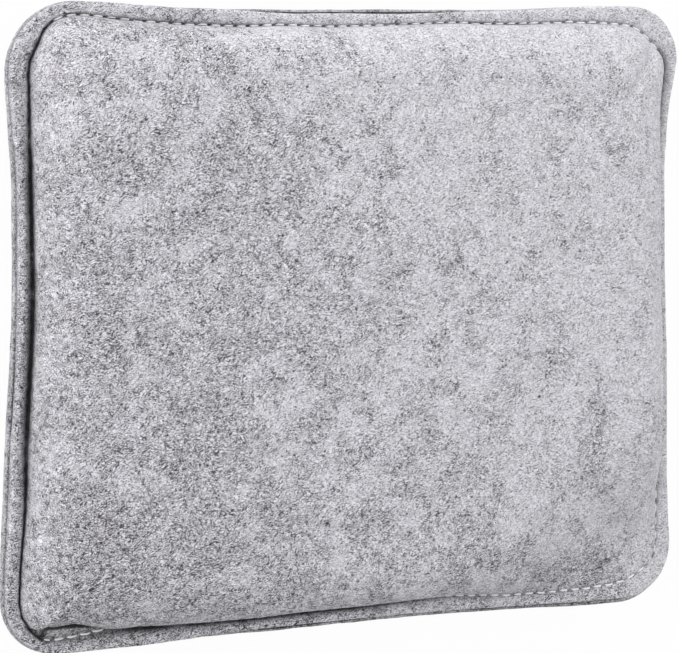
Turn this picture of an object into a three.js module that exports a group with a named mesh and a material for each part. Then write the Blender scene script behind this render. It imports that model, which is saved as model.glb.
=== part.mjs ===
import * as THREE from 'three';

// A needle felting pad: two felt panels sewn face to face round a stack of batting sheets.
// Millimetres, +Z up. The pad lies on its back panel, with the origin under its middle.

// Cut size of the back panel, and how far the filling draws its sides in between the corners
const padLength = 254;
const padWidth = 203.2;
const cornerRadius = 21;
const innerCornerRadius = 8;
const drawInEnds = 3.4;
const drawInSides = 1.8;

// Felt, and the flat sewn edge that stands out all round
const feltThickness = 3;
const flangeWidth = 5.6;
const edgeStep = 1.2; // the front panel's cut edge lies this far inside the back one's
const edgeRound = 0.6;
const panelGap = 0.3;

// Stuffed form, measured from the seam plane between the two panels
const frontRise = 19;
const backRise = 16;
const shoulderReach = 16; // stitch line to the top of the rounded shoulder
const crownRise = 1.5; // the faces still rise this much from the shoulder to the middle

// Lockstitch seam
const threadDiameter = 0.8;
const threadSeat = 0.3;
const stitchPitch = 4.7;
const stitchLift = 0.6; // a stitch stands this much higher at its middle than at its ends
const stitchSink = 1.2; // depth to which the stitches squeeze the felt
const creaseRun = 1; // width over which the flange dips to the stitches
const seamStart = 28; // the seam starts and ends this far before the top right corner

// Filling
const sheetCount = 4;
const sheetGap = 0.3;
const fillClearance = 0.3;

// Steps of the outline and of the rounded walls
const cornerSteps = 6;
const sideSteps = 8;
const outerWallAngles = [0, 15, 33, 52, 71, 90];
const innerWallAngles = [0, 40, 65, 90];
const threadSides = 4;

const threadRadius = threadDiameter / 2;
const flangeBottom = panelGap / 2;
const flangeTop = flangeBottom + feltThickness;
const grooveFloor = flangeTop - stitchSink;
const grooveHalf = threadRadius + threadSeat;
const shoulderInset = flangeWidth + shoulderReach;
const crownInset = (shoulderInset + padWidth / 2) / 2;

const felt = new THREE.MeshStandardMaterial({ color: 0xb8b7bc, roughness: 1, metalness: 0 });
const thread = new THREE.MeshStandardMaterial({ color: 0xdedee2, roughness: 0.7, metalness: 0 });
const batting = new THREE.MeshStandardMaterial({ color: 0xece9e2, roughness: 1, metalness: 0 });

// Draws a plan point in towards the middle, most of all half way along each side
function drawnIn(x, y) {
  const alongEnd = Math.cos((Math.PI * y) / padWidth) ** 2;
  const alongSide = Math.cos((Math.PI * x) / padLength) ** 2;
  return new THREE.Vector2(
    x * (1 - (drawInEnds * alongEnd) / (padLength / 2)),
    y * (1 - (drawInSides * alongSide) / (padWidth / 2)),
  );
}

// Closed plan outline at an inset from the back panel's cut edge.
// It starts at the top right corner and runs clockwise, seen from above.
function outline(inset) {
  const radius = Math.max(cornerRadius - inset, innerCornerRadius);
  const centreX = padLength / 2 - inset - radius;
  const centreY = padWidth / 2 - inset - radius;
  const corners = [[1, 1], [1, -1], [-1, -1], [-1, 1]];
  const points = [];
  corners.forEach(([signX, signY], corner) => {
    for (let step = 0; step <= cornerSteps; step++) {
      const angle = Math.PI / 2 - (corner + step / cornerSteps) * (Math.PI / 2);
      points.push([signX * centreX + radius * Math.cos(angle), signY * centreY + radius * Math.sin(angle)]);
    }
    const [fromX, fromY] = points[points.length - 1];
    const [nextX, nextY] = corners[(corner + 1) % corners.length];
    const nextAngle = -corner * (Math.PI / 2);
    const toX = nextX * centreX + radius * Math.cos(nextAngle);
    const toY = nextY * centreY + radius * Math.sin(nextAngle);
    for (let step = 1; step < sideSteps; step++) {
      const share = step / sideSteps;
      points.push([THREE.MathUtils.lerp(fromX, toX, share), THREE.MathUtils.lerp(fromY, toY, share)]);
    }
  });
  return points.map(([x, y]) => drawnIn(x, y));
}

const raised = ([inset, z]) => outline(inset).map((point) => new THREE.Vector3(point.x, point.y, z));

// Closed solid through a row of outlines, with a flat cap on the first and the last
function loft(loops) {
  const count = loops[0].length;
  const faces = [];
  for (let row = 0; row < loops.length - 1; row++) {
    for (let step = 0; step < count; step++) {
      const next = (step + 1) % count;
      const [a, b] = [row * count + step, row * count + next];
      const [c, d] = [a + count, b + count];
      faces.push(a, b, c, b, d, c);
    }
  }
  const last = (loops.length - 1) * count;
  const capOf = (loop) => THREE.ShapeUtils.triangulateShape(loop.map(({ x, y }) => new THREE.Vector2(x, y)), []);
  capOf(loops[0]).forEach(([a, b, c]) => faces.push(a, b, c));
  capOf(loops[loops.length - 1]).forEach(([a, b, c]) => faces.push(last + a, last + c, last + b));
  const geometry = new THREE.BufferGeometry().setFromPoints(loops.flat());
  geometry.setIndex(faces);
  return geometry;
}

// Quarter ellipse from the foot of a wall up to the shoulder, as [inset, height] pairs
function wall(footInset, footHeight, topHeight, angles) {
  const reach = shoulderInset - footInset;
  return angles.map((degrees) => {
    const angle = THREE.MathUtils.degToRad(degrees);
    return [shoulderInset - reach * Math.cos(angle), footHeight + (topHeight - footHeight) * Math.sin(angle)];
  });
}

const outerWall = (rise) => wall(flangeWidth + grooveHalf, grooveFloor, rise - crownRise, outerWallAngles);

function innerWall(rise) {
  const foot = flangeWidth + grooveHalf + feltThickness;
  return wall(foot, flangeBottom, rise - crownRise - feltThickness, innerWallAngles);
}

// Section of one panel, from the middle of its outside, round its cut edge, to the middle of its inside
function panelSection(edgeInset, rise) {
  return [
    [crownInset, rise],
    ...outerWall(rise).reverse(),
    [flangeWidth - grooveHalf, grooveFloor],
    [flangeWidth - grooveHalf - creaseRun, flangeTop],
    [edgeInset + edgeRound, flangeTop],
    [edgeInset, flangeTop - edgeRound],
    [edgeInset, flangeBottom],
    ...innerWall(rise),
    [crownInset, rise - feltThickness],
  ];
}

const mirrored = ([inset, z]) => [inset, -z];
const frontPanel = () => loft(panelSection(edgeStep, frontRise).map(raised));
const backPanel = () => loft(panelSection(0, backRise).map(mirrored).map(raised).reverse());

// One sheet of the stack. All sheets have one outline, and thin together where the cover closes on them.
function battingSheet(index) {
  const ceilings = [...innerWall(frontRise).slice(1), [crownInset, frontRise - feltThickness]];
  const floors = [...innerWall(backRise).slice(1), [crownInset, backRise - feltThickness]].map(mirrored);
  const rows = ceilings.map(([inset, ceiling], row) => {
    const low = floors[row][1] + fillClearance;
    const high = ceiling - fillClearance;
    const thickness = (high - low - (sheetCount - 1) * sheetGap) / sheetCount;
    const bottom = low + index * (thickness + sheetGap);
    return { inset: inset + fillClearance, bottom, top: bottom + thickness };
  });
  const upper = rows.map(({ inset, top }) => [inset, top]);
  const lower = rows.map(({ inset, bottom }) => [inset, bottom]);
  return loft([...upper.reverse(), ...lower].map(raised));
}

// The thread's way round the pad: along the stitch line, up over each stitch and down between stitches
class SeamPath extends THREE.Curve {
  constructor(face) {
    super();
    const loop = outline(flangeWidth);
    this.corners = [...loop, loop[0]];
    this.distances = [0];
    loop.forEach((point, index) => {
      this.distances.push(this.distances[index] + point.distanceTo(this.corners[index + 1]));
    });
    this.length = this.distances[loop.length];
    this.stitches = Math.round(this.length / stitchPitch);
    this.face = face;
  }

  get steps() {
    return 2 * this.stitches - 1;
  }

  getPoint(share, target = new THREE.Vector3()) {
    const along = (share * this.steps) / (2 * this.stitches);
    const distance = THREE.MathUtils.euclideanModulo(along * this.length - seamStart, this.length);
    const index = this.distances.findIndex((reached) => reached > distance) - 1;
    const leg = this.distances[index + 1] - this.distances[index];
    const plan = this.corners[index].clone().lerp(this.corners[index + 1], (distance - this.distances[index]) / leg);
    const lift = (stitchLift / 2) * (1 - Math.cos(2 * Math.PI * along * this.stitches));
    const height = grooveFloor + threadSeat + threadRadius + lift;
    return target.set(plan.x, plan.y, this.face * height);
  }

  getPointAt(share, target) {
    return this.getPoint(share, target);
  }

  getTangentAt(share, target) {
    return this.getTangent(share, target);
  }
}

function seamThread(face) {
  const path = new SeamPath(face);
  const section = new THREE.Shape();
  section.absarc(0, 0, threadRadius, 0, 2 * Math.PI);
  return new THREE.ExtrudeGeometry(section, {
    extrudePath: path,
    steps: path.steps,
    curveSegments: threadSides / 2,
  });
}

const pad = new THREE.Group();
pad.position.z = backRise;

function add(name, geometry, material) {
  const mesh = new THREE.Mesh(geometry, material.clone());
  mesh.name = name;
  pad.add(mesh);
}

add('front_felt_panel', frontPanel(), felt);
add('back_felt_panel', backPanel(), felt);
add('needle_thread', seamThread(1), thread);
add('bobbin_thread', seamThread(-1), thread);
for (let index = 0; index < sheetCount; index++) {
  add(`batting_sheet_${index + 1}`, battingSheet(index), batting);
}

export default pad;
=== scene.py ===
import bmesh
import bpy
import math
import numpy as np
from mathutils import Matrix, Vector, kdtree, noise


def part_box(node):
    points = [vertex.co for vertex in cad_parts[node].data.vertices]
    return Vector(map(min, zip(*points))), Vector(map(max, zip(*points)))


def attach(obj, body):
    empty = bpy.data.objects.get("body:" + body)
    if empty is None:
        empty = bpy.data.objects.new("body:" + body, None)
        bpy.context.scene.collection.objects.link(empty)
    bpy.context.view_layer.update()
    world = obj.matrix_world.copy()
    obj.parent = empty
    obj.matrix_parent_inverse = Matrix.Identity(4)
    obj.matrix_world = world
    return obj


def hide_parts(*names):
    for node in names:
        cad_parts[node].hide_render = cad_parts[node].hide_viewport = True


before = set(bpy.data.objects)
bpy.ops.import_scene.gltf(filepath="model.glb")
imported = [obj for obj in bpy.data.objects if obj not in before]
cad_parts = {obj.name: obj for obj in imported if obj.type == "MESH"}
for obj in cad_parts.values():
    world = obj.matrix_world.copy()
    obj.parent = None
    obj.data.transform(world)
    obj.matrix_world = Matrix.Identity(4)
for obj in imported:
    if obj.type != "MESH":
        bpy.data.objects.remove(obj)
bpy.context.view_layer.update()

scene = bpy.context.scene
mm = 0.001
body = "root"

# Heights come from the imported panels, in millimetres above the table
backLow, backHigh = [np.array(corner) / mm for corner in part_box("back_felt_panel")]
frontLow, frontHigh = [np.array(corner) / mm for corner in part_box("front_felt_panel")]
seamZ = (backHigh[2] + frontLow[2]) / 2
halfGap = (frontLow[2] - backHigh[2]) / 2
frontRise = frontHigh[2] - seamZ
backRise = seamZ - backLow[2]
print("frame: seam plane at %.2f mm, front rise %.2f, back rise %.2f" % (seamZ, frontRise, backRise))


def placed(name, data):
    made = bpy.data.objects.new(name, data)
    scene.collection.objects.link(made)
    return made


# Camera, fitted to the photographed outline
shot = dict(
    yaw=31.83,  # degrees, off to the left of the working face
    pitch=5.12,  # degrees, a little above its middle
    roll=0.69,
    distance=1252.6,  # mm from the aim point
    aim=(-6.43, -2.33),  # mm, on the seam plane
    lens=204.4,
    sensor=36.0,
)


def placeCamera():
    yaw, pitch, roll = (math.radians(shot[key]) for key in ("yaw", "pitch", "roll"))
    back = Vector((-math.sin(yaw) * math.cos(pitch), math.sin(pitch), math.cos(yaw) * math.cos(pitch)))
    right = Vector((0, 1, 0)).cross(back).normalized()
    up = back.cross(right)
    turned = Matrix((right, up, back)).transposed() @ Matrix.Rotation(roll, 3, "Z")
    data = bpy.data.cameras.new("studioCamera")
    data.lens = shot["lens"]
    data.sensor_width = shot["sensor"]
    data.sensor_fit = "HORIZONTAL"
    camera = placed("studioCamera", data)
    aim = Vector((*shot["aim"], seamZ))
    camera.matrix_world = Matrix.Translation((aim + back * shot["distance"]) * mm) @ turned.to_4x4()
    scene.camera = camera


placeCamera()
print("camera placed")


# Plan of the pad: a rounded rectangle whose sides are drawn in by the filling.
# The runs pair a place along a side with a size there, in mm.
pad = dict(
    length=254.0,
    width=203.2,
    cornerRadii=(20.0, 20.0, 18.0, 23.0),  # top right, bottom right, bottom left, top left
    innerRadius=8.0,
    innerShare=0.6,  # of the half width, the innermost rings' largest corner
    felt=3.0,
    shoulder=16.0,  # from the stitch line, before it is filled
    crown=1.5,
    weld=0.02,  # mm
    cornerBlend=0.08,
)
drawIn = dict(  # the back panel's cut edge, inside the rectangle
    top=[(-104, -0.7), (-95, -0.5), (-81, 0.4), (-67, 1.2), (-52, 1.5), (8, 1.2), (63, 1.0), (79, 0.2),
         (95, -0.5)],
    bottom=[(-101, 0.4), (-80, 0.5), (-65, 1.3), (-20, 1.3), (26, 1.7), (58, 1.2), (75, 0.7), (91, 0.1)],
    left=[(-83, -1.0), (-71, -1.0), (-46, 0.2), (-33, 0.5), (-8, 2.1), (10, 2.7), (47, 2.2), (60, 1.1),
          (78, -0.4)],
    right=[(-81, -0.6), (-67, 1.0), (-46, 1.6), (-18, 2.6), (9, 4.1), (50, 5.1), (70, 3.6), (84, 0.2)],
    blur=6.0,
)
frontEdge = dict(  # cut edge of the front panel, in from the back one's
    top=[(-50, 0.05), (-44, 0.3), (-26, 1.3), (14, 1.4), (29, 0.9), (45, 0.5), (63, 0.05)],
    bottom=[(-62, 0.1), (-54, 0.7), (-37, 1.2), (-6, 1.5), (41, 1.5), (57, 1.3), (98, 1.8)],
    left=[(-90, 0.0), (-60, 0.2), (50, 0.2), (75, -0.6)],
    right=[(-90, 1.2), (-60, 0.6), (80, 0.3)],
    blur=4.0,
)
stitchInset = dict(  # stitch line, in from the back panel's cut edge
    top=[(-104, 4.1), (-98, 4.1), (-93, 4.8), (-61, 5.2), (-46, 5.5), (-32, 4.9), (-13, 5.5), (6, 5.0),
         (35, 4.1), (49, 4.6), (79, 4.6), (91, 5.3), (101, 5.8), (106, 6.5), (112, 7.8), (118, 8.6)],
    bottom=[(-116, 4.0), (-108, 4.7), (-98, 5.7), (-93, 6.3), (-88, 7.2), (-84, 7.7), (-80, 7.3),
            (-73, 6.7), (-60, 6.1), (-38, 6.1), (-24, 6.7), (34, 6.8), (59, 5.4), (81, 5.8), (95, 6.6),
            (102, 7.2), (112, 8.6)],
    left=[(-83, 4.5), (-71, 5.0), (-58, 5.9), (10, 6.0), (41, 5.4), (60, 5.6), (72, 6.3)],
    right=[(-95, 8.0), (-91, 7.0), (-77, 6.0), (-68, 5.2), (0, 5.4), (78, 5.2), (86, 6.4), (95, 8.6)],
    blur=3.0,
)
creaseDepth = dict(  # 0 with the stitches on top of the felt, 1 where the swelling folds over them
    top=[(-114, 0.25), (-104, 0.15), (-75, 0.1), (-62, 0.3), (-46, 0.25), (-36, 0.08), (100, 0.1)],
    bottom=[(-112, 0.3), (-85, 0.8), (0, 0.8), (18, 0.5), (40, 0.15), (100, 0.05)],
    left=[(-88, 0.15), (-64, 0.25), (-46, 0.6), (-28, 0.9), (45, 0.9), (62, 0.5), (76, 0.25)],
    right=[(-70, 0.05), (0, 0.25), (50, 0.3), (65, 0.6), (84, 0.6), (94, 0.2)],
    blur=4.0,
)
paintedCreaseShade = dict(  # painted shade down in the crease; it also sets how far the crease closes over the stitches
    top=[(-118, 0.9), (-112, 0.6), (-96, 0.5), (-75, 0.5), (-62, 0.65), (-46, 0.6), (-34, 0.4), (10, 0.3),
         (85, 0.3), (100, 0.1)],
    bottom=[(-117, 1.0), (-114, 0.6), (-112, 0.2), (-100, 0.25), (-91, 0.45), (-86, 0.95), (0, 0.95),
            (18, 0.7), (40, 0.3), (60, 0.12), (100, 0.08)],
    left=[(0, 1.0)],
    right=[(-80, 0.08), (-40, 0.4), (0, 0.6), (50, 0.6), (65, 1.0), (84, 0.9), (95, 0.1)],
    blur=2.0,
)
shoulderReach = dict(  # stitch line to the top of the shoulder
    top=[(60, 16), (95, 20)],
    bottom=[(35, 16), (65, 26), (85, 38), (105, 44)],
    left=[(0, 16)],
    right=[(-90, 44), (-78, 34), (-58, 20), (-15, 16), (45, 18), (70, 22), (90, 26)],
    blur=6.0,
)
wallSlope = dict(  # 0 where the wall stands up from the crease, up to 2 where it slopes
    top=[(60, 0.0), (95, 0.4)],
    bottom=[(35, 0.0), (60, 0.7), (80, 1.6), (100, 2.0)],
    left=[(0, 0.0)],
    right=[(-86, 2.0), (-74, 1.4), (-60, 0.4), (-40, 0.1), (45, 0.1), (80, 0.5)],
    blur=6.0,
)
cornerSoftness = dict(  # the filling ends short of the corners
    amounts=(0.45, 0.70, 0.25, 0.22),  # in the order of the corner radii
    reach=(42.0, 54.0),  # mm in x and in y
    base=2.6,  # mm off the seam, the height that stays
    flange=5.6,  # mm of sewn edge
)


def smooth(low, high, value):
    share = np.clip((value - low) / (high - low), 0, 1)
    return share * share * (3 - 2 * share)


def softRun(points, at, blur, steps=9):
    places, sizes = zip(*points)
    shifts = np.linspace(-1, 1, steps) * blur
    return np.mean([np.interp(at + shift, places, sizes) for shift in shifts], axis=0)


def sidesAndEnds(runs, x, y):
    # Sizes on the nearest long side and at the nearest end
    top, bottom = (softRun(runs[key], x, runs["blur"]) for key in ("top", "bottom"))
    right, left = (softRun(runs[key], y, runs["blur"]) for key in ("right", "left"))
    return np.where(y > 0, top, bottom), np.where(x > 0, right, left)


def aroundPad(runs, x, y):
    # The sizes of the nearest side, shared between two sides at a corner
    sides, ends = sidesAndEnds(runs, x, y)
    lean = np.abs(y) / (pad["width"] / 2) - np.abs(x) / (pad["length"] / 2)
    return ends + (sides - ends) * smooth(-pad["cornerBlend"], pad["cornerBlend"], lean)


def drawnIn(x, y):
    sides, ends = sidesAndEnds(drawIn, x, y)
    return np.stack([x * (1 - ends / (pad["length"] / 2)), y * (1 - sides / (pad["width"] / 2))], axis=-1)


class Plan:
    # Columns all round the pad, clockwise from the top right corner
    def __init__(self, cornerSteps, shortSteps, longSteps):
        corners, angles, nextAngles, shares = [], [], [], []
        for corner in range(4):
            turns = math.pi / 2 * (1 - corner - np.arange(cornerSteps + 1) / cornerSteps)
            count = longSteps if corner % 2 else shortSteps
            corners += [corner] * (cornerSteps + count)
            angles += [*turns, *[turns[-1]] * (count - 1)]
            nextAngles += [turns[-1]] * (cornerSteps + count)
            shares += [0] * (cornerSteps + 1) + list(np.arange(1, count) / count)
        self.corners, self.angles = np.array(corners), np.array(angles)
        self.nextAngles, self.shares = np.array(nextAngles), np.array(shares)
        self.count = len(corners)
        x, y = np.moveaxis(self.flatAt(np.zeros(self.count)), -1, 0)
        runs = (frontEdge, stitchInset, creaseDepth, paintedCreaseShade, shoulderReach, wallSlope)
        sizes = [aroundPad(run, x, y) for run in runs]
        self.edge, self.stitch, self.crease, self.shade, reach, self.slope = sizes
        self.shoulder = self.stitch + reach
        self.seam = self.at(self.stitch)
        legs = np.hypot(*(np.roll(self.seam, -1, axis=0) - self.seam).T)
        self.length = legs.sum()
        self.along = np.concatenate([[0], np.cumsum(legs)[:-1]])
        ahead = np.roll(self.seam, -1, axis=0) - np.roll(self.seam, 1, axis=0)
        ahead /= np.hypot(*ahead.T)[:, None]
        self.outward = np.stack([-ahead[:, 1], ahead[:, 0]], axis=1)

    def cornerPoint(self, corners, angles, inset):
        signX, signY = np.array([1, 1, -1, -1])[corners], np.array([1, -1, -1, 1])[corners]
        halfX, halfY = pad["length"] / 2 - inset, pad["width"] / 2 - inset
        radius = np.maximum(np.array(pad["cornerRadii"])[corners] - inset, pad["innerRadius"])
        radius = np.minimum(radius, pad["innerShare"] * halfY)
        return np.stack([signX * (halfX - radius) + radius * np.cos(angles),
                         signY * (halfY - radius) + radius * np.sin(angles)], axis=-1)

    def flatAt(self, inset):
        here = self.cornerPoint(self.corners, self.angles, inset)
        following = self.cornerPoint((self.corners + 1) % 4, self.nextAngles, inset)
        return here + (following - here) * self.shares[:, None]

    def at(self, inset):
        flat = self.flatAt(inset)
        return drawnIn(flat[..., 0], flat[..., 1])

    def seamAt(self, distance, values):
        # Values read between the columns, along the stitch line
        runs = np.append(self.along, self.length)
        closed = np.concatenate([values, values[:1]]).reshape(len(runs), -1)
        read = [np.interp(distance % self.length, runs, column) for column in closed.T]
        return np.stack(read, axis=-1).reshape(len(distance), *values.shape[1:])


finePlan = Plan(28, 134, 176)
coarsePlan = Plan(14, 67, 88)
print("plan: %d columns, seam %.1f mm long" % (finePlan.count, finePlan.length))


# Lockstitch
seam = dict(
    pitch=4.7,
    start=28.0,  # mm before the top right corner
    dimple=0.4,  # mm that each needle hole pulls the felt down
    dimpleReach=1.15,
    backCrease=0.3,  # depth on the back
)
stitchCount = round(finePlan.length / seam["pitch"])
stitchPitch = finePlan.length / stitchCount


def holeDistance(along):
    phase = ((along + seam["start"]) / stitchPitch) % 1
    return np.minimum(phase, 1 - phase) * stitchPitch


# Cross-section of a felt panel in fifteen control rows, from its cut edge to the foot of the swelling:
# distance or share of the flange's width, and height off the seam
section = dict(
    cutEdge=[(0.55, 0.15), (0.10, 0.45), (0.0, 1.2), (0.03, 2.2), (0.24, 2.82)],
    shallowFlange=[(0.20, 3.12), (0.50, 3.20), (0.78, 3.15), (0.88, 2.90), (0.95, 2.45), (1.0, 2.1)],
    deepFlange=[(0.17, 3.10), (0.35, 3.05), (0.53, 2.60), (0.70, 1.90), (0.86, 1.10), (1.0, 0.6)],
    shallowFoot=[(0.12, 2.15), (0.25, 2.35), (0.36, 2.9), (0.55, 4.2)],
    deepFoot=[(0.18, 0.7), (0.30, 1.0), (0.12, 2.1), (-0.50, 4.8)],
    flatFoot=[(0.18, 2.2), (0.40, 2.3), (0.90, 2.7), (1.60, 3.1)],
    stitchPull=[0.2, 0.7, 1.0, 0.7, 0.2],  # of the rows about the stitches
    scallop=0.15,  # mm that the wall swells out over each stitch
    scallopShares=[0.8, 1.0],
    ragged=[(3.6, 0.18), (1.7, 0.14)],  # wavelengths and heights in mm
    spanRings=2,
    wallRings=26,
    faceRing=1.3,
    lips=[0.6, -0.45, -0.75],  # inside of the back panel's edge
    lipsLeast=[0.9, 0.7, 0.58],
    innerFoot=0.8,
    innerAngles=[0, 20, 40, 60, 78, 90],
    innerShoulder=1.0,
    innerFaceRings=8,
)
rowsOf = dict(  # the control rows that each change takes in
    cutSide=slice(0, 3),
    crease=slice(5, None),
    ragged=slice(8, -1),
    stitches=slice(8, 13),
    holes=slice(9, 12),
    foot=slice(-4, None),
    wall=slice(-2, None),
    shelf=11,
    fold=slice(12, None),
    foldEdge=slice(11, 14),
)
paintedShade = dict(  # painted shade of the control rows, where the crease, the gap between the panels, the needle holes and the fold lie in shade
    shallow=[0.95, 0.8, 0.3, 0, 0, 0, 0, 0, 0.1, 0.6, 1, 1, 0.9, 0.2, 0],
    deep=[0.95, 0.8, 0.3, 0, 0, 0, 0.25, 0.55, 0.8, 0.95, 1, 1, 1, 0.5, 0],
    low=[0.95, 0.8, 0.3, 0, 0, 0, 0, 0.35, 1, 1, 1, 1, 1, 0.5, 0],  # where the wall hides it
    lowFacing=(-0.5, -0.9),
    lowCrease=(0.3, 0.6),
    backEdge=0.35,  # share left on the back panel's cut edge
    topEdge=0.45,  # and on the front panel's along the top
    topFacing=(0.5, 0.9),
    lips=[1, 0.9, 0],
    ripple=[(9.0, 0.35), (3.0, 0.3)],  # wavelengths in mm, and shares
    hole=0.9,
    paleHole=0.2,  # share of it that is left where the seam is pale
    holeRipple=[(7.0, 1.3)],
    holeLimits=(0.2, 1.5),
    wallFade=6.0,
)
tuck = dict(  # fold in the bottom left corner, where the swelling starts further in
    places=[(-119.4, 0), (-118.2, 0.8), (-114, 0.95), (-109, 0.95), (-105.5, 0.85), (-101, 0.6), (-97, 0.38),
            (-93, 0.15), (-88, 0)],
    blur=0.8,
    below=-84.0,
    shelf=5.5,
    shelfShares=[0.5, 0.62, 1.0, 1.0],
    shelfLift=[0.5, 0.6, 0, 0.3],
    # painted shade under the fold, and along its edge
    dark=[0.95, 1.0, 0.6],
    darkGain=3.0,
    edge=-115.8,  # the fold's sharp left edge
    edgeWidth=1.2,
)
layers = dict(  # slices of the noise, one for each pattern
    front=3.0, back=21.0, flange=40.0, edge=60.0, dark=75.0, ragged=80.0, holes=85.0, tufts=90.0, step=7.3)
pucker = dict(  # crease across the flange where the seam starts and ends
    outer=(67.0, 100.2),
    inner=(64.2, 96.3),
    width=0.9,
    depth=0.9,
    reach=8.0,
    fade=(1.5, 0.5),
    lowest=1.5,
)


def layered(points, waves, start):
    flat = points.reshape(-1, 2)
    heights = np.zeros(len(flat))
    for step, (wavelength, height) in enumerate(waves):
        layer = start + layers["step"] * step
        heights += [noise.noise(Vector((x, y, layer))) * height for x, y in flat / wavelength]
    return heights.reshape(points.shape[:-1])


def throughPoints(points, rings):
    # Smooth curve through rows of control points, the same number of rings in each span
    ends = np.concatenate([2 * points[:1] - points[1:2], points, 2 * points[-1:] - points[-2:-1]])
    share = (np.arange(rings) / rings).reshape(-1, *[1] * (points.ndim - 1))
    spans = [0.5 * (2 * b + (c - a) * share + (2 * a - 5 * b + 4 * c - d) * share ** 2
                    + (3 * b - a - 3 * c + d) * share ** 3)
             for a, b, c, d in zip(ends, ends[1:], ends[2:], ends[3:])]
    return np.concatenate([*spans, points[-1:]])


def asColumn(values):
    return np.array(values)[:, None]


def creased(shallow, deep, crease):
    return asColumn(shallow) + (asColumn(deep) - asColumn(shallow)) * crease[:, None]


def holePull(plan):
    # 1 at each needle hole, 0 between them
    return np.exp(-(holeDistance(plan.along) / seam["dimpleReach"]) ** 2)


def foldAt(plan, side):
    # How far the fold takes the foot in at each column, and where its sharp edge lies
    inTuck = (side > 0) * (plan.seam[:, 1] < tuck["below"])
    takenIn = inTuck * softRun(tuck["places"], plan.seam[:, 0], tuck["blur"])
    edge = inTuck * np.exp(-((plan.seam[:, 0] - tuck["edge"]) / tuck["edgeWidth"]) ** 2)
    return takenIn, edge


def controlRows(plan, edge, crease, side):
    # Inset and height of the control rows at every column
    cut = np.array(section["cutEdge"])
    flange = creased(section["shallowFlange"], section["deepFlange"], crease)
    foot = creased(section["shallowFoot"], section["deepFoot"], crease)
    foot = foot + (asColumn(section["flatFoot"]) - foot) * np.minimum(plan.slope, 1)[:, None]
    width = plan.stitch - edge
    inset = np.concatenate([edge + cut[:, :1], edge + width * flange[..., 0], plan.stitch + foot[..., 0]])
    height = np.concatenate([cut[:, 1:] + 0 * edge, flange[..., 1], foot[..., 1]])
    takenIn = foldAt(plan, side)[0]
    inset[rowsOf["foot"]] += takenIn * tuck["shelf"] * asColumn(tuck["shelfShares"])
    height[rowsOf["foot"]] += takenIn * asColumn(tuck["shelfLift"])
    scallops = np.sin(math.pi * holeDistance(plan.along) / stitchPitch) ** 2
    inset[rowsOf["wall"]] -= section["scallop"] * plan.shade * scallops * asColumn(section["scallopShares"])
    inset[rowsOf["ragged"]] += plan.shade * layered(plan.seam, section["ragged"], layers["ragged"] + side)
    height[rowsOf["stitches"]] -= seam["dimple"] * holePull(plan) * asColumn(section["stitchPull"])
    return np.stack([inset, height], axis=-1)


def rowPaintedShade(plan, crease, side):
    # Painted shade of the control rows at every column: in the crease, at the cut edges, in the needle holes
    # and under the fold
    shallow, deep, low = (asColumn(paintedShade[key]) for key in ("shallow", "deep", "low"))
    dark = shallow * (1 - crease) + deep * crease
    facing = plan.outward[:, 1]
    hidden = (side > 0) * smooth(*paintedShade["lowFacing"], facing) * smooth(*paintedShade["lowCrease"], crease)
    dark += (low - dark) * hidden
    frontEdgePaintedShade = 1 + (paintedShade["topEdge"] - 1) * smooth(*paintedShade["topFacing"], facing)
    dark[rowsOf["cutSide"]] *= frontEdgePaintedShade if side > 0 else paintedShade["backEdge"]
    uneven = 1 + layered(plan.seam, paintedShade["ripple"], layers["dark"])
    dark[rowsOf["crease"]] *= np.clip(plan.shade * uneven, 0, 1)
    holes = paintedShade["hole"] * (paintedShade["paleHole"] + plan.shade) * holePull(plan)
    uneven = 1 + layered(plan.seam, paintedShade["holeRipple"], layers["holes"])
    holes = holes * np.clip(uneven, *paintedShade["holeLimits"])
    dark[rowsOf["holes"]] = np.maximum(dark[rowsOf["holes"]], holes)
    takenIn, edge = foldAt(plan, side)
    dark[rowsOf["shelf"]] *= 1 - takenIn
    underFold = np.minimum(1, tuck["darkGain"] * takenIn) * asColumn(tuck["dark"])
    dark[rowsOf["fold"]] = np.maximum(dark[rowsOf["fold"]], underFold)
    dark[rowsOf["foldEdge"]] = np.maximum(dark[rowsOf["foldEdge"]], edge)
    return np.minimum(dark, 1)


def wallAndFace(plan, foot, shoulder, top, angles, shares):
    # Rounded wall from the foot to the shoulder, then level rings to the middle
    inset, height = foot
    wall = np.stack([shoulder - (shoulder - inset) * np.cos(angles),
                     height + (top - height) * np.sin(angles) ** (1 + plan.slope)], axis=-1)
    insets = shoulder + (pad["width"] / 2 - shoulder) * shares
    return np.concatenate([wall, np.stack([insets, np.full(insets.shape, top)], axis=-1)])


def outerSection(plan, edge, crease, rise, side, detail):
    # Insets, heights and painted shade of every ring at every column
    rows = throughPoints(controlRows(plan, edge, crease, side), section["spanRings"])
    dark = throughPoints(rowPaintedShade(plan, crease, side), section["spanRings"])
    angles = np.linspace(0, math.pi / 2, round(section["wallRings"] / detail) + 1)[1:, None]
    run = pad["width"] / 2 - plan.shoulder.min()
    faceRings = round(run / section["faceRing"] / detail)
    shares = asColumn(np.arange(1, faceRings + 1) / faceRings)
    inner = wallAndFace(plan, rows[-1].T, plan.shoulder, rise - pad["crown"], angles, shares)
    innerPaintedShade = np.zeros(inner.shape[:2])
    innerPaintedShade[:len(angles)] = dark[-1:] * np.maximum(0, 1 - paintedShade["wallFade"] * angles)
    return np.concatenate([rows, inner]), np.concatenate([dark, innerPaintedShade])


def innerSection(plan, rise):
    foot = plan.stitch + section["innerFoot"] + pad["felt"], halfGap
    shoulder = plan.shoulder + section["innerShoulder"]
    angles = asColumn(np.radians(section["innerAngles"]))
    shares = asColumn(np.linspace(0, 1, section["innerFaceRings"])[1:])
    return wallAndFace(plan, foot, shoulder, rise - pad["crown"] - pad["felt"], angles, shares)


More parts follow.
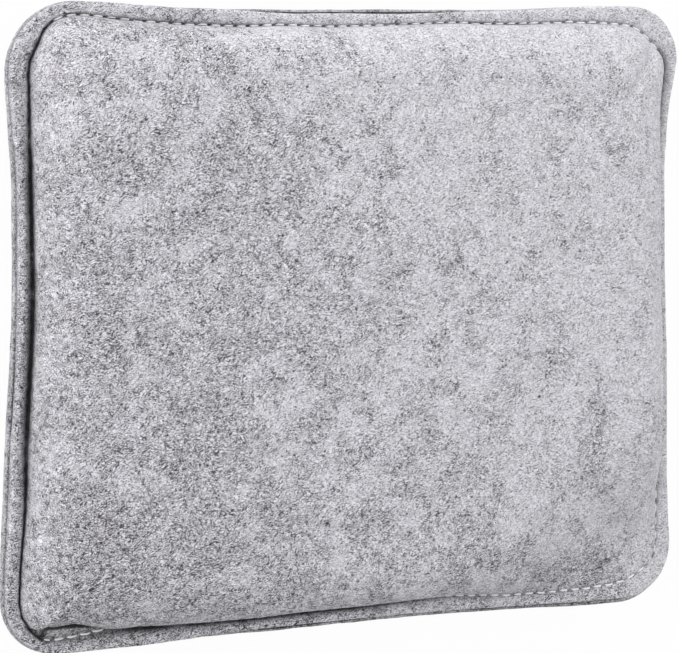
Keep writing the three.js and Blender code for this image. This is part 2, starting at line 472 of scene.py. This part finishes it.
# Stuffed swelling of the cover, simulated as cloth under pressure with the seam held
filling = dict(
    voxel=4.6,  # mm
    frames=20,
    cap=4.0,  # mm, the furthest move
    cloth=dict(quality=6, mass=0.25, tension_stiffness=30.0, compression_stiffness=30.0, shear_stiffness=15.0,
               bending_stiffness=6.0, vertex_group_mass="seam", use_pressure=True,
               uniform_pressure_force=0.9),
    footInset=0.3,
    wallAngles=[15, 30, 45, 60, 75, 90],
    faceInsets=[36, 52, 68, 84, 96],
    heldReach=0.6,  # share of a voxel from the seam plane
    nearest=8,  # simulated points to follow
    ease=1.5,
    middlePoints=40,  # on the front, about its middle
    leastSwell=0.1,
)


def meshFrom(name, points, faces):
    mesh = bpy.data.meshes.new(name)
    mesh.from_pydata(points.reshape(-1, 3).tolist(), [], faces)
    mesh.update()
    return mesh


def ringFaces(rings, count, flip=False):
    column = np.arange(count)
    after = (column + 1) % count
    rows = [np.stack([low + column, low + after, low + count + after, low + count + column], axis=1)
            for low in range(0, (rings - 1) * count, count)]
    faces = np.concatenate(rows)
    return faces[:, ::-1] if flip else faces


def plainCover():
    # Closed cover of evenly sized faces, before it is filled
    plan = Plan(6, 34, 44)
    foot = plan.stitch.mean() + filling["footInset"]
    shoulder = plan.stitch.mean() + pad["shoulder"]
    loops = []
    for side, rise in ((-1, backRise), (1, frontRise)):
        top = rise - pad["crown"]
        half = [(shoulder - (shoulder - foot) * math.cos(turn), side * top * math.sin(turn))
                for turn in np.radians(filling["wallAngles"])]
        half += [(inset, side * top) for inset in filling["faceInsets"]]
        loops += half[::-1] + [(foot, 0)] if side < 0 else half
    rings = [np.column_stack([plan.at(np.full(plan.count, inset)), np.full(plan.count, z)])
             for inset, z in loops]
    faces = ringFaces(len(loops), plan.count, True).tolist()
    last = (len(loops) - 1) * plan.count
    faces += [list(range(plan.count)), list(range(last, last + plan.count))[::-1]]
    cover = placed("coverStart", meshFrom("coverStart", np.array(rings) * mm, faces))
    remesh = cover.modifiers.new("remesh", "REMESH")
    remesh.mode = "VOXEL"
    remesh.voxel_size = filling["voxel"] * mm
    even = bpy.data.meshes.new_from_object(cover.evaluated_get(bpy.context.evaluated_depsgraph_get()))
    cover.modifiers.clear()
    cover.data = even
    return cover


def addPressure(cover, start):
    held = cover.vertex_groups.new(name="seam")
    nearSeam = np.abs(start[:, 2]) < filling["heldReach"] * filling["voxel"] * mm
    held.add(np.nonzero(nearSeam)[0].tolist(), 1.0, "REPLACE")
    cloth = cover.modifiers.new("swell", "CLOTH")
    for key, value in filling["cloth"].items():
        setattr(cloth.settings, key, value)
    cloth.settings.effector_weights.gravity = 0
    cloth.collision_settings.use_collision = False
    cloth.point_cache.frame_start = 1
    cloth.point_cache.frame_end = filling["frames"]


def swollenCover():
    # The start points of the cover and how far the filling moves each of them, in millimetres
    cover = plainCover()
    start = np.array([vertex.co[:] for vertex in cover.data.vertices])
    addPressure(cover, start)
    for step in range(1, filling["frames"] + 1):
        scene.frame_set(step)
    swollen = cover.evaluated_get(bpy.context.evaluated_depsgraph_get()).to_mesh()
    moved = np.array([vertex.co[:] for vertex in swollen.vertices]) - start
    scene.frame_set(1)
    bpy.data.objects.remove(cover)
    size = np.linalg.norm(moved, axis=1, keepdims=True) / mm
    return start / mm, moved / mm * np.minimum(1, filling["cap"] / np.maximum(size, 1e-6))


coverStart, coverMoved = swollenCover()
fromMiddle = np.hypot(coverStart[:, 0], coverStart[:, 1]) + pad["length"] * (coverStart[:, 2] <= 0)
middle = np.argsort(fromMiddle)[:filling["middlePoints"]]
swell = max(coverMoved[middle, 2].mean(), filling["leastSwell"])
coverMoved *= pad["crown"] / swell  # the middle swells by the crown
print("cover swollen: %d points, middle moved %.2f mm" % (len(coverStart), swell))

coverTree = kdtree.KDTree(len(coverStart))
for index, point in enumerate(coverStart):
    coverTree.insert(point, index)
coverTree.balance()


def fillMove(points):
    # Moves of the nearest simulated points, shared by distance
    moves = np.zeros((len(points), 3))
    for index, point in enumerate(points):
        near = coverTree.find_n(point, filling["nearest"])
        shares = np.array([1 / (distance + filling["ease"]) ** 2 for _, _, distance in near])
        followed = coverMoved[[found for _, found, _ in near]]
        moves[index] = (followed * shares[:, None]).sum(axis=0) / shares.sum()
    return moves


# Unevenness of the felt, as wavelengths and heights in mm
unevenness = dict(
    face=[(46.0, 0.55), (21.0, 0.28), (9.0, 0.10)],
    flange=[(52.0, 0.6), (17.0, 0.2)],
    edge=[(38.0, 0.22), (9.0, 0.14), (3.2, 0.10)],
    backSag=0.8,  # under the pad's weight
    faceStart=(0.5, 9.0),  # mm past the stitches
    faceHeights=(2.6, 5.0),
    flangeStart=(0, -5.0),
    flangeHeights=(5.0, 3.4),
    push=(0.5, 0.5, 1.0),  # shares of the swelling
    clear=0.05,  # mm off the seam gap
    onGap=0.01,
    tableEase=0.5,
)


def cornerDrop(points):
    # Share of the height that is missing
    x, y = points[..., 0], points[..., 1]
    corner = np.where(x > 0, np.where(y > 0, 0, 1), np.where(y > 0, 3, 2))
    amounts = np.array(cornerSoftness["amounts"])[corner]
    for at, size, reach in zip((x, y), (pad["length"], pad["width"]), cornerSoftness["reach"]):
        fromSide = np.maximum(size / 2 - cornerSoftness["flange"] - np.abs(at), 0)
        amounts = amounts * (1 - smooth(0, reach, fromSide))
    return amounts


def dressed(plan, rows, side, layer, below=0.0):
    # Rings of a felt surface all round the plan, swollen and made uneven
    insets, heights = rows[..., 0], rows[..., 1]
    loops = plan.at(insets)
    pastStitch = insets - plan.stitch
    onFace = smooth(*unevenness["faceStart"], pastStitch) * smooth(*unevenness["faceHeights"], heights)
    onFlange = smooth(*unevenness["flangeStart"], pastStitch) * smooth(*unevenness["flangeHeights"], heights)
    over = np.maximum(heights + below - cornerSoftness["base"], 0)
    heights = np.maximum(heights - over * cornerDrop(loops), np.minimum(heights, halfGap))
    flat = np.concatenate([loops, side * rows[..., 1:]], axis=-1).reshape(-1, 3)
    moves = fillMove(flat).reshape(*insets.shape, 3) * onFace[..., None] * unevenness["push"]
    lumps = layered(loops, unevenness["face"], layer) * onFace
    waves = layered(plan.seam, unevenness["flange"], layers["flange"]) * onFlange  # both panels wave together
    wander = layered(plan.seam, unevenness["edge"], layers["edge"] + layer) * onFlange
    if side < 0:
        lumps = lumps + unevenness["backSag"] * onFace
    else:
        start, run = np.array(pucker["inner"]), np.subtract(pucker["outer"], pucker["inner"])
        aside = ((loops - start) @ (run[1], -run[0])) / np.hypot(*run)
        near = np.hypot(*np.moveaxis(loops - start, -1, 0)) < pucker["reach"]
        fold = np.exp(-(aside / pucker["width"]) ** 2) * near * (heights > pucker["lowest"])
        lumps = lumps - fold * pucker["depth"] * smooth(*pucker["fade"], pastStitch)
    rise = heights + side * moves[..., 2] + lumps
    lifted = np.maximum(rise, halfGap + unevenness["clear"])
    rise = np.where(heights > halfGap + unevenness["onGap"], lifted, rise)
    plan2d = loops + moves[..., :2] + wander[..., None] * plan.outward
    return np.concatenate([plan2d, (seamZ + waves + side * rise)[..., None]], axis=-1)


def onTable(points, level):
    # Nothing sinks below its level: the underside lies flat where it meets the table
    ease = unevenness["tableEase"]
    z = points[..., 2] - level
    points[..., 2] = level + np.where(z < ease, ease * np.exp(np.minimum(z / ease, 1) - 1), z)
    return points


def addPiece(name, mesh, nodes, material):
    piece = placed(name, mesh)
    mesh.materials.append(material)
    mesh.polygons.foreach_set("use_smooth", [True] * len(mesh.polygons))
    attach(piece, body)
    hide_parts(*nodes)
    return piece


def put(kind, sockets=(), tree=None, **settings):
    # A node in the given tree, or else in that of the sockets that lead to it
    linked = [value for value in dict(sockets).values() if isinstance(value, bpy.types.NodeSocket)]
    tree = tree or linked[0].id_data
    made = tree.nodes.new("ShaderNode" + kind)
    for key, value in settings.items():
        setattr(made, key, value)
    for key, value in dict(sockets).items():
        if value in linked:
            tree.links.new(value, made.inputs[key])
        else:
            made.inputs[key].default_value = value
    return made


def vectors(operation, first, second, give="Vector"):
    return put("VectorMath", {0: first, 1: second}, operation=operation).outputs[give]


def startMaterial(name):
    material = bpy.data.materials.new(name)
    material.use_nodes = True
    tree = material.node_tree
    tree.nodes.clear()
    output = tree.nodes.new("ShaderNodeOutputMaterial")
    shader = tree.nodes.new("ShaderNodeBsdfPrincipled")
    tree.links.new(shader.outputs[0], output.inputs[0])
    coords = put("TexCoord", tree=tree).outputs["Object"]
    inMillimetres = put("VectorMath", {0: coords, 3: 1 / mm}, operation="SCALE").outputs[0]
    return material, tree, shader, inMillimetres


def finishMaterial(tree, shader, colour, height, look):
    tree.links.new(colour, shader.inputs["Base Color"])
    strength, distance = look["bump"]
    bump = put("Bump", {"Strength": strength, "Distance": distance * mm, "Height": height})
    tree.links.new(bump.outputs[0], shader.inputs["Normal"])
    for key, value in look["surface"].items():
        shader.inputs[key].default_value = value


def noiseOf(where, scale, detail=2.0, roughness=0.5, distortion=0.0):
    return put("TexNoise", {"Vector": where, "Scale": scale, "Detail": detail, "Roughness": roughness,
                            "Distortion": distortion}).outputs["Fac"]


def between(value, low, high, toLow=0.0, toHigh=1.0):
    return put("MapRange", {"Value": value, "From Min": low, "From Max": high, "To Min": toLow,
                            "To Max": toHigh}, interpolation_type="SMOOTHSTEP").outputs[0]


def maths(operation, first, second):
    return put("Math", {0: first, 1: second}, operation=operation).outputs[0]


def mixed(share, first, second):
    return put("Mix", {0: share, 6: first, 7: second}, data_type="RGBA").outputs[2]


# Heathered grey felt: pale matted wool with clusters of dark fibres worked through it
felt = dict(
    strokes=[(-16, 1.6), (-34, 1.0), (25, 0.5), (-80, 0.4)],  # degrees and strength of each lie of the fibres
    strokeSize=(0.75, 7.4),  # along and across, per mm
    strokeDetail=0.5,
    streaks=[(-18, 0.16), (-55, 0.08)],  # longer and softer
    streakSize=(0.20, 1.5),
    streakDetail=1.0,
    grain=(3.3, 0.5),  # scale and detail
    grainStrength=0.75,
    bend=2.8,  # mm
    bendScale=0.25,
    blotch=(0.09, 5.0, 0.70),  # scale, detail and roughness
    blotchLimits=(0.62, 0.12),
    blotchDepth=0.26,
    askew=(0.6, 0.9, 0.4),
    clusterScale=0.022,
    cluster=0.2,
    drift=(0.0010, 0.0005, 0),  # per mm, fewer to the top right
    clouds=[  # more or less dark wool in places, and painted shade on the slope at the bottom right: x, y, reach in mm, and strength
        (-74, -40, 16, 0.10), (-101, -64, 18, 0.12), (-105, -84, 24, 0.18), (74, -93, 16, 0.20),
        (96, -90, 16, 0.22), (-104, 0, 26, 0.07), (-59, 58, 26, 0.05), (-22, 27, 20, 0.05),
        (-45, -23, 14, -0.10), (61, -41, 26, -0.05)],
    calm=0.82,  # contrast in the pale wool, and what the dark wool adds
    rough=2.1,
    contrast=1.65,
    middle=0.61,
    hairs=[(-14, 1.0), (-62, 0.9), (35, 0.8)],  # single hairs: degrees, and closeness per mm
    hairWidth=0.014,
    hairPatches=(0.2, 0.4, 0.6),  # scale and limits
    hairGain=0.7,
    darkHairs=[(-20, 1.8), (-35, 1.9), (-62, 1.6), (32, 1.5)],
    darkHairWidth=0.03,
    darkHairPatches=(0.55, 0.50, 0.62),
    darkHairGain=1.4,
    strayHairs=0.15,  # share of the dark hairs in the pale wool
    hairStretch=0.15,
    fleckScale=0.05,
    fleckSize=(0.035, 0.014),
    fleckChosen=(0.55, 0.75),
    tones=[(0.0, 0.045), (0.25, 0.19), (0.42, 0.43), (0.55, 0.57), (0.75, 0.66), (1.0, 0.77)],
    tint=(1.0, 0.988, 1.05),
    bump=(0.05, 0.3),  # strength, and distance in mm
    surface={"Roughness": 0.95, "Specular IOR Level": 0.15},
    # painted shade in the creases, the gap between the panels, the needle holes and under the fold: how far
    # it goes, and its colour, which the dark flecks share
    paintedShadeMix=0.96,
    fleckAndPaintedShadeTint=(0.02, 0.02, 0.024, 1),
)


def centred(value, strength):
    sockets = {0: value, 1: strength, 2: -0.5 * strength}
    return put("Math", sockets, operation="MULTIPLY_ADD").outputs[0]


def drawnOut(where, turn, along, across):
    # Space turned and stretched, so that a noise in it becomes strokes
    sockets = {"Vector": where, "Angle": math.radians(turn)}
    turned = put("VectorRotate", sockets, rotation_type="Z_AXIS").outputs[0]
    return vectors("MULTIPLY", turned, (along, across, across))


def bentSpace(where):
    sockets = {"Vector": where, "Scale": felt["bendScale"], "Detail": 2.0}
    shift = vectors("SUBTRACT", put("TexNoise", sockets).outputs["Color"], (0.5, 0.5, 0.5))
    shift = put("VectorMath", {0: shift, 3: felt["bend"]}, operation="SCALE").outputs[0]
    return vectors("ADD", where, shift)


def woolFibres(bent):
    fibres = centred(noiseOf(bent, *felt["grain"]), felt["grainStrength"])
    for kind in ("stroke", "streak"):
        for turn, strength in felt[kind + "s"]:
            drawn = drawnOut(bent, turn, *felt[kind + "Size"])
            lie = noiseOf(drawn, 1.0, felt[kind + "Detail"])
            fibres = maths("ADD", fibres, centred(lie, strength))
    return fibres


def darkClusters(where):
    sockets = {"Vector": where, "Rotation": felt["askew"]}
    askew = put("VectorRotate", sockets, rotation_type="EULER_XYZ").outputs[0]
    drift = vectors("DOT_PRODUCT", where, felt["drift"], "Value")
    blotch = maths("ADD", noiseOf(askew, *felt["blotch"]), drift)
    cluster = noiseOf(askew, felt["clusterScale"], 1.0)
    blotch = maths("ADD", blotch, centred(cluster, felt["cluster"]))
    flat = vectors("MULTIPLY", where, (1, 1, 0))
    for x, y, reach, strength in felt["clouds"]:
        off = vectors("DISTANCE", flat, (x, y, 0), "Value")
        blotch = maths("SUBTRACT", blotch, between(off, reach, 0, 0.0, strength))
    return between(blotch, *felt["blotchLimits"])


def withHairs(level, where, bent, darkWool):
    # Thin lines along the contours of a stretched noise
    for kind, operation in (("hair", "ADD"), ("darkHair", "SUBTRACT")):
        scale, low, high = felt[kind + "Patches"]
        patch = between(noiseOf(where, scale, 1.0), low, high, 0.0, felt[kind + "Gain"])
        if kind == "darkHair":
            patch = maths("MULTIPLY", patch, maths("ADD", darkWool, felt["strayHairs"]))
        for turn, closeness in felt[kind + "s"]:
            drawn = drawnOut(bent, turn, felt["hairStretch"] * closeness, closeness)
            off = maths("SUBTRACT", noiseOf(drawn, 1.0, 1.0), 0.5)
            lines = between(maths("ABSOLUTE", off, 0), felt[kind + "Width"], 0)
            level = maths(operation, level, maths("MULTIPLY", lines, patch))
    return level


def greyTones(level):
    ramp = put("ValToRGB", {"Fac": level})
    tones = ramp.color_ramp.elements
    while len(tones) < len(felt["tones"]):
        tones.new(0.5)
    for tone, (place, grey) in zip(tones, felt["tones"]):
        tone.position = place
        tone.color = (*(grey * share for share in felt["tint"]), 1)
    return ramp.outputs[0]


def withFlecks(colour, bent):
    cells = put("TexVoronoi", {"Vector": bent, "Scale": felt["fleckScale"]}).outputs
    spot = between(cells["Distance"], *felt["fleckSize"])
    chance = put("SeparateColor", {0: cells["Color"]}).outputs[0]
    share = maths("MULTIPLY", spot, between(chance, *felt["fleckChosen"]))
    return mixed(share, colour, felt["fleckAndPaintedShadeTint"])


def feltMaterial(name):
    material, tree, shader, where = startMaterial(name)
    bent = bentSpace(where)
    darkWool = darkClusters(where)
    swing = maths("ADD", maths("MULTIPLY", darkWool, felt["rough"]), felt["calm"])
    fibres = maths("MULTIPLY", woolFibres(bent), swing)
    level = maths("SUBTRACT", fibres, maths("MULTIPLY", darkWool, felt["blotchDepth"]))
    level = maths("ADD", maths("MULTIPLY", level, felt["contrast"]), felt["middle"])
    level = withHairs(level, where, bent, darkWool)
    colour = withFlecks(greyTones(level), bent)
    # painted shade, read from the mesh's crease attribute and mixed towards the shade colour
    pressed = put("Attribute", tree=tree, attribute_name="crease").outputs["Fac"]
    colour = mixed(maths("MULTIPLY", pressed, felt["paintedShadeMix"]), colour, felt["fleckAndPaintedShadeTint"])
    finishMaterial(tree, shader, colour, level, felt)
    return material


feltFinish = feltMaterial("heatheredGreyFelt")
bakeSheet = dict(  # scale per mm, and low corner
    outside=(1 / 310, (0.005, 0.005)),
    inside=(1 / 1600, (0.01, 0.85)),
)


def addBakeMap(mesh, outerUv, innerUv, outerFaceCount):
    # The outside unrolled over most of the sheet, the inside small beside it; every face has four corners
    corners = np.zeros(len(mesh.loops), dtype=int)
    mesh.loops.foreach_get("vertex_index", corners)
    onOutside = np.arange(len(corners)) < 4 * outerFaceCount
    chosen = np.where(onOutside[:, None], outerUv.reshape(-1, 2)[corners], innerUv.reshape(-1, 2)[corners])
    mesh.uv_layers.new(name="OFBake").data.foreach_set("uv", chosen.astype(np.float32).ravel())


def unrolled(plan, profile, scale, corner):
    # Each ring drawn as its plan outline, spread by its distance along the section
    legs = np.hypot(*np.diff(profile, axis=0).T)
    toMiddle = np.concatenate([np.cumsum(legs[::-1])[::-1], [0]])
    loops = np.array([plan.at(np.full(plan.count, pad["width"] / 2 - reach)) for reach in toMiddle])
    widest = np.abs(loops).max(axis=(0, 1))
    return loops * scale + corner + widest * scale


def closeMiddle(mesh, columns):
    # The first and last rings fold onto the middle line, so their two sides become one
    work = bmesh.new()
    work.from_mesh(mesh)
    work.verts.ensure_lookup_table()
    ends = [*work.verts[:columns], *work.verts[-columns:]]
    bmesh.ops.remove_doubles(work, verts=ends, dist=pad["weld"] * mm)
    work.to_mesh(mesh)
    work.free()
    mesh.update()


def panelMesh(name, plan, edge, crease, rise, side, layer, detail):
    outer, dark = outerSection(plan, edge, crease, rise, side, detail)
    inner = innerSection(plan, rise)[::-1]
    innerPaintedShade = np.zeros(inner.shape[:2])
    if side < 0:
        # the back panel's lips, inside its edge, get painted shade where the front panel's edge lies over
        # them
        lips = np.maximum(plan.edge + asColumn(section["lips"]), asColumn(section["lipsLeast"]))
        inner = np.concatenate([inner, np.stack([lips, np.full(lips.shape, halfGap)], axis=-1)])
        innerPaintedShade = np.concatenate([innerPaintedShade, np.outer(paintedShade["lips"], np.ones(plan.count))])
    outside = dressed(plan, outer, side, layer)
    inside = dressed(plan, inner, side, layer, pad["felt"])
    if side < 0:
        outside, inside = onTable(outside, 0), onTable(inside, pad["felt"])
    points = np.concatenate([inside, outside])
    innerRings, outerRings, columns = len(inner), len(outer), plan.count
    outerFaces = ringFaces(outerRings, columns, side > 0) + innerRings * columns
    innerFaces = ringFaces(innerRings + 1, columns, side > 0)
    mesh = meshFrom(name, points * mm, np.concatenate([outerFaces, innerFaces]).tolist())
    # the painted shade is stored on the points as the crease attribute
    shade = mesh.attributes.new("crease", "FLOAT", "POINT")
    shade.data.foreach_set("value", np.concatenate([innerPaintedShade.ravel(), dark.ravel()]))
    outerMean, innerMean = outer.mean(axis=1), inner.mean(axis=1)
    outerUv = unrolled(plan, np.concatenate([innerMean[-1:], outerMean]), *bakeSheet["outside"])
    innerUv = unrolled(plan, np.concatenate([outerMean[:1], innerMean[::-1]]), *bakeSheet["inside"])
    allOuter = np.pad(outerUv, ((innerRings - 1, 0), (0, 0), (0, 0)))
    allInner = np.pad(innerUv[::-1], ((0, outerRings - 1), (0, 0), (0, 0)))
    addBakeMap(mesh, allOuter, allInner, len(outerFaces))
    closeMiddle(mesh, columns)
    return mesh


frontMesh = panelMesh("frontFeltPanel", finePlan, finePlan.edge, finePlan.crease, frontRise, side=1,
                      layer=layers["front"], detail=1.0)
frontPanel = addPiece("frontFeltPanel", frontMesh, ["front_felt_panel"], feltFinish)
noInset = np.zeros(coarsePlan.count)
backMesh = panelMesh("backFeltPanel", coarsePlan, noInset, noInset + seam["backCrease"], backRise, side=-1,
                     layer=layers["back"], detail=1.6)
backPanel = addPiece("backFeltPanel", backMesh, ["back_felt_panel"], feltFinish)
print("felt panels: %d and %d faces" % (len(frontMesh.polygons), len(backMesh.polygons)))


# Sewing threads, one running over the front of the seam and one over its back
threads = dict(
    radius=0.31,
    lobes=3,  # plies of the twisted thread
    lobeDepth=0.14,
    turn=2.1,  # mm for one turn of the plies
    sides=9,
    samples=10,  # rings for each stitch
    holeHeight=0.3,  # mm off the seam plane at the needle holes
    rampShare=0.34,  # share of a stitch
    crest=0.46,  # mm above the floor of the crease
    crestSpread=0.12,
    sunk=1.7,  # mm lower where the crease closes over them
    pressed=0.14,  # mm lower where the felt is slack
    sway=0.12,
    closedShade=(0.62, 1.0),  # the crease closes between these
    slackEnd=(116, 121),  # mm, in the slack corner
    slackGain=2.0,
    tuckEnd=(-100, -103),  # mm, in the fold
    tuckGain=3.2,
    look=dict(
        stretch=(1, 1, 1),
        fibres=(3.2, 3.0, 0.6),
        tones=[(0.88, 0.88, 0.89, 1), (0.96, 0.96, 0.96, 1)],
        toneLimits=(0.35, 0.65),
        patches=(0.12, 2.0, 0.5),
        patchTone=(0.78, 0.78, 0.80, 1),
        patchLimits=(0.4, 0.65, 0.0, 0.3),
        bump=(0.4, 0.1),
        surface={"Roughness": 0.7, "Specular IOR Level": 0.3, "Sheen Weight": 0.2},
    ),
)


def fibreMaterial(name, look):
    # Two tones by the lie of the fibres, and a third in patches
    material, tree, shader, where = startMaterial(name)
    fibres = noiseOf(vectors("MULTIPLY", where, look["stretch"]), *look["fibres"])
    colour = mixed(between(fibres, *look["toneLimits"]), *look["tones"])
    patch = between(noiseOf(where, *look["patches"]), *look["patchLimits"])
    finishMaterial(tree, shader, mixed(patch, colour, look["patchTone"]), fibres, look)
    return material


threadFinish = fibreMaterial("paleSpunThread", threads["look"])


def threadPath(side, crease, shade, seed):
    # Points in and out of the needle holes, their run along the seam, and the way outwards
    chance = np.random.default_rng(seed)
    samples = threads["samples"]
    phase = np.arange(stitchCount * samples + 1) / samples
    distance = phase * stitchPitch - seam["start"]
    spread = chance.normal(0, threads["crestSpread"], stitchCount + 1)
    sways = chance.normal(0, threads["sway"], stitchCount + 1)
    stitch = phase.astype(int)
    rising = smooth(0, threads["rampShare"], np.minimum(phase % 1, 1 - phase % 1))
    path = finePlan.seamAt(distance, finePlan.seam)
    outward = finePlan.seamAt(distance, finePlan.outward)
    shallowFloor, deepFloor = section["shallowFlange"][-1][1], section["deepFlange"][-1][1]
    floor = shallowFloor + (deepFloor - shallowFloor) * finePlan.seamAt(distance, crease)
    closed = smooth(*threads["closedShade"], finePlan.seamAt(distance, shade))
    pressed = np.minimum(1, finePlan.seamAt(distance, finePlan.slope))
    pressed = pressed + threads["slackGain"] * smooth(*threads["slackEnd"], path[:, 0])
    inTuck = (path[:, 1] < tuck["below"]) * smooth(*threads["tuckEnd"], path[:, 0])
    pressed = pressed + threads["tuckGain"] * inTuck
    crest = floor + threads["crest"] - threads["sunk"] * closed - threads["pressed"] * pressed
    crest = crest + spread[stitch]
    hole = np.minimum(threads["holeHeight"], crest)
    height = hole + (crest - hole) * rising
    path = np.column_stack([path + outward * (sways[stitch] * rising)[:, None], seamZ + side * height])
    return path, distance, outward


def threadMesh(name, side, crease, shade, seed):
    path, distance, outward = threadPath(side, crease, shade, seed)
    count, sides = len(path), threads["sides"]
    along = np.gradient(path, axis=0)
    along /= np.linalg.norm(along, axis=1, keepdims=True)
    across = np.column_stack([outward, np.zeros(count)])
    lift = np.cross(along, across)
    angles = np.arange(sides) / sides * 2 * math.pi
    twist = (distance / threads["turn"] * 2 * math.pi)[:, None]
    plies = np.cos(threads["lobes"] * (angles[None] - twist))
    reach = threads["radius"] * (1 + threads["lobeDepth"] * plies)
    rings = (path[:, None] + (reach * np.cos(angles))[:, :, None] * across[:, None]
             + (reach * np.sin(angles))[:, :, None] * lift[:, None])
    faces = ringFaces(count, sides).tolist()
    faces += [list(range(sides))[::-1], list(range((count - 1) * sides, count * sides))]
    return meshFrom(name, rings * mm, faces)


backCrease = np.full(finePlan.count, seam["backCrease"])
for name, node, side, crease, shade, seed in (
        ("needleThread", "needle_thread", 1, finePlan.crease, finePlan.shade, 11),
        ("bobbinThread", "bobbin_thread", -1, backCrease, backCrease, 12)):
    addPiece(name, threadMesh(name, side, crease, shade, seed), [node], threadFinish)
print("threads: %d stitches of %.2f mm" % (stitchCount, stitchPitch))


# Batting: lofty sheets stacked inside the cover
batting = dict(
    sheets=4,
    gap=0.3,
    clearance=0.35,
    firstRing=2,  # where the cover is open enough
    tufts=[(6.0, 0.05), (2.5, 0.03)],  # wavelengths and heights in mm
    look=dict(
        stretch=(0.4, 1.7, 2.4),
        fibres=(1.0, 4.0, 0.65, 1.5),
        tones=[(0.70, 0.68, 0.63, 1), (0.88, 0.86, 0.82, 1)],
        toneLimits=(0.35, 0.65),
        patches=(0.2, 3.0, 0.5),
        patchTone=(0.80, 0.77, 0.71, 1),
        patchLimits=(0.35, 0.7, 0.0, 0.4),
        bump=(0.6, 0.5),
        surface={"Roughness": 0.95, "Sheen Weight": 0.25},
    ),
)
battingFinish = fibreMaterial("offWhiteBatting", batting["look"])
sheetPlan = Plan(7, 34, 44)
ceilingRings = dressed(sheetPlan, innerSection(sheetPlan, frontRise), 1, layers["front"], pad["felt"])
floorRings = dressed(sheetPlan, innerSection(sheetPlan, backRise), -1, layers["back"], pad["felt"])
floorRings = onTable(floorRings, pad["felt"])


def battingMesh(name, index):
    # The space inside the cover is shared evenly among the sheets
    low, high = floorRings[batting["firstRing"]:], ceilingRings[batting["firstRing"]:]
    bottom, top = low[..., 2] + batting["clearance"], high[..., 2] - batting["clearance"]
    thickness = (top - bottom - (batting["sheets"] - 1) * batting["gap"]) / batting["sheets"]
    under = bottom + index * (thickness + batting["gap"])
    inward = batting["clearance"] * (1 - np.arange(len(low)) / (len(low) - 1))[:, None, None]
    plan = (low + high)[..., :2] / 2 - inward * sheetPlan.outward
    tufts = layered(plan, batting["tufts"], layers["tufts"] + index)
    upper = np.concatenate([plan, (under + thickness + tufts)[..., None]], axis=-1)
    lower = np.concatenate([plan, (under + tufts)[..., None]], axis=-1)
    faces = ringFaces(2 * len(low), sheetPlan.count).tolist()
    mesh = meshFrom(name, np.concatenate([upper[::-1], lower]) * mm, faces)
    closeMiddle(mesh, sheetPlan.count)
    return mesh


for index in range(batting["sheets"]):
    name = "battingSheet%d" % (index + 1)
    nodes = ["batting_sheet_%d" % (index + 1)]
    sheet = addPiece(name, battingMesh(name, index), nodes, battingFinish)
print("batting: %d sheets" % batting["sheets"])


# Plain pale floor and soft lamps
lights = dict(
    ambient=0.72,
    floorGlow=0.96,  # share of its white that stays in the shadow
    floorSize=6.0,  # m
    floorDrop=0.1,  # mm under the pad
    floorTones=[(0.80, 0.80, 0.80, 1), (0.84, 0.84, 0.84, 1)],
    floorScale=0.02,
    floorRoughness=0.9,
    lamps=[  # name, direction from the pad, distance in m, width and height in m, power in W
        ("leftSoftbox", (-0.93, 0.05, 0.36), 1.2, (0.4, 1.0), 5.7),
        ("topLeftSoftbox", (-0.60, 0.65, 0.45), 1.3, (0.8, 0.8), 4.0),
        ("topStrip", (0.00, 0.98, 0.18), 1.3, (1.2, 0.4), 3.7),
        ("rightStrip", (0.97, 0.05, 0.20), 1.3, (0.4, 1.0), 2.2),
        ("topRightFill", (0.60, 0.65, 0.45), 1.3, (0.8, 0.8), 3.2),
    ],
)


def seenRay(tree):
    path = put("LightPath", tree=tree).outputs
    mirrored = maths("MAXIMUM", path["Is Glossy Ray"], path["Is Transmission Ray"])
    return maths("MAXIMUM", path["Is Camera Ray"], mirrored)


def white(tree, kind, strength):
    return put(kind, {"Color": (1, 1, 1, 1), "Strength": strength}, tree).outputs[0]


def floorMaterial(name):
    material, tree, shader, where = startMaterial(name)
    shader.inputs["Roughness"].default_value = lights["floorRoughness"]
    speckle = noiseOf(where, lights["floorScale"])
    tree.links.new(mixed(speckle, *lights["floorTones"]), shader.inputs["Base Color"])
    glow = white(tree, "Emission", 1.0)
    seen = maths("MULTIPLY", seenRay(tree), lights["floorGlow"])
    both = put("MixShader", {0: seen, 1: shader.outputs[0], 2: glow}).outputs[0]
    output = next(node for node in tree.nodes if node.type == "OUTPUT_MATERIAL")
    tree.links.new(both, output.inputs[0])
    return material


def addFloor():
    half = lights["floorSize"] / 2
    corners = np.array([(-half, -half, 0), (half, -half, 0), (half, half, 0), (-half, half, 0)])
    floorMesh = meshFrom("studioFloor", corners - (0, 0, lights["floorDrop"] * mm), [(0, 1, 2, 3)])
    floorMesh.materials.append(floorMaterial("paleFloor"))
    floor = placed("studioFloor", floorMesh)


def addRoom():
    world = bpy.data.worlds.new("softRoom")
    world.use_nodes = True
    tree = world.node_tree
    tree.nodes.clear()
    room = white(tree, "Background", lights["ambient"])
    backdrop = white(tree, "Background", 1.0)
    both = put("MixShader", {0: seenRay(tree), 1: room, 2: backdrop}).outputs[0]
    put("OutputWorld", {"Surface": both})
    scene.world = world


def addLamps():
    for name, direction, distance, (width, height), power in lights["lamps"]:
        data = bpy.data.lights.new(name, "AREA")
        data.shape = "RECTANGLE"
        data.size, data.size_y = width, height
        data.energy = power
        lamp = placed(name, data)
        towards = Vector(direction).normalized()
        lamp.location = towards * distance + Vector((0, 0, seamZ * mm))
        lamp.rotation_mode = "QUATERNION"
        lamp.rotation_quaternion = (-towards).to_track_quat("-Z", "Y")


scene.view_settings.view_transform = "Standard"
addFloor()
addRoom()
addLamps()
print("studio: floor, room and %d lamps" % len(lights["lamps"]))
